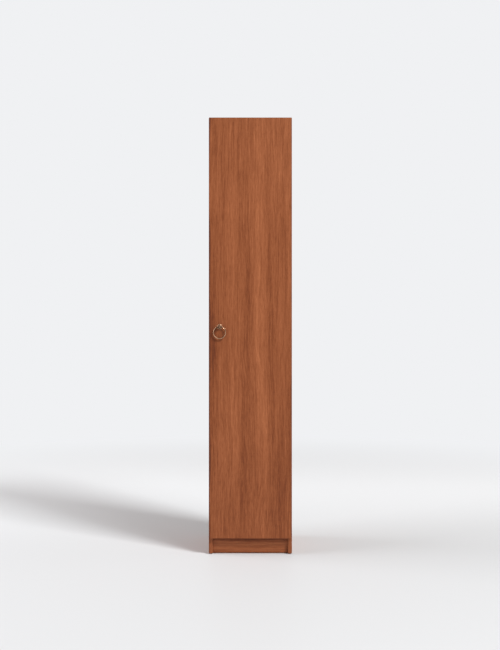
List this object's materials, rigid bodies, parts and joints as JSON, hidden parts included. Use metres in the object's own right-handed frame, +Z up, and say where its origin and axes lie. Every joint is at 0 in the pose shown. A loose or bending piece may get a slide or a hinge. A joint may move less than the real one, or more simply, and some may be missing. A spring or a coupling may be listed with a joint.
{
  "type": "broom cupboard",
  "caption": "Tall narrow wood-finish cupboard with one full-height door on concealed hinges, a bronze ring pull, a recessed plinth, a top shelf and hooks.",
  "frame": {"origin": "centre of the bounding box's bottom face, on the floor", "axes": "+X to the right as seen from the front, front towards -Y, +Z up"},
  "size_m": [0.4, 0.4168, 2.1],
  "materials": {
    "wood_finish": "satin reddish brown wood-grain foil",
    "hardboard": "matt brown printed hardboard",
    "plated_steel": "zinc plated",
    "hinge_steel": "nickel plated",
    "aged_bronze": "antique bronze, softly polished",
    "glide_plastic": "brown plastic"
  },
  "bodies": {
    "carcass": {"left_side_panel": "wood_finish", "right_side_panel": "wood_finish", "top_panel": "wood_finish", "bottom_panel": "wood_finish", "plinth_board": "wood_finish", "fixed_shelf": "wood_finish", "carcass_edge_bands": "wood_finish", "hook_rail": "wood_finish", "back_panel": "hardboard", "broom_hooks": "plated_steel", "wall_bracket": "plated_steel", "floor_glide_left_front": "glide_plastic", "floor_glide_left_rear": "glide_plastic", "floor_glide_right_front": "glide_plastic", "floor_glide_right_rear": "glide_plastic", "hinge_plate_1": "hinge_steel", "hinge_plate_2": "hinge_steel", "hinge_plate_3": "hinge_steel", "hinge_arm_1": "hinge_steel", "hinge_arm_2": "hinge_steel", "hinge_arm_3": "hinge_steel"},
    "short_links": {"hinge_short_link_1": "hinge_steel", "hinge_short_link_2": "hinge_steel", "hinge_short_link_3": "hinge_steel"},
    "door": {"door_panel": "wood_finish", "door_edge_bands": "wood_finish", "hinge_cups": "hinge_steel", "handle_rosette": "aged_bronze", "handle_post": "aged_bronze"},
    "long_links": {"hinge_long_link_1": "hinge_steel", "hinge_long_link_2": "hinge_steel", "hinge_long_link_3": "hinge_steel"},
    "ring": {"handle_ring": "aged_bronze"}
  },
  "joints": [
    {"name": "short_link_turn", "type": "hinge", "parent": "carcass", "child": "short_links", "pos_m": [0.1758, -0.18025, 1.089], "axis": [0, 0, 1], "range_deg": [-52, 0]},
    {"name": "door_swing", "type": "hinge", "parent": "short_links", "child": "door", "pos_m": [0.1896, -0.17985, 1.089], "axis": [0, 0, 1], "range_deg": [0, 144.4]},
    {"name": "long_link_turn", "type": "hinge", "parent": "door", "child": "long_links", "pos_m": [0.1895, -0.17585, 1.089], "axis": [0, 0, 1], "range_deg": [-134, 0]},
    {"name": "ring_swing", "type": "hinge", "parent": "door", "child": "ring", "pos_m": [-0.1475, -0.20015, 1.0955], "axis": [-1, 0, 0], "range_deg": [-4, 170]}
  ],
  "couplings": [
    {"joint": "short_link_turn", "follows": "door_swing", "ratio": -0.3421},
    {"joint": "long_link_turn", "follows": "door_swing", "ratio": -0.88947}
  ]
}
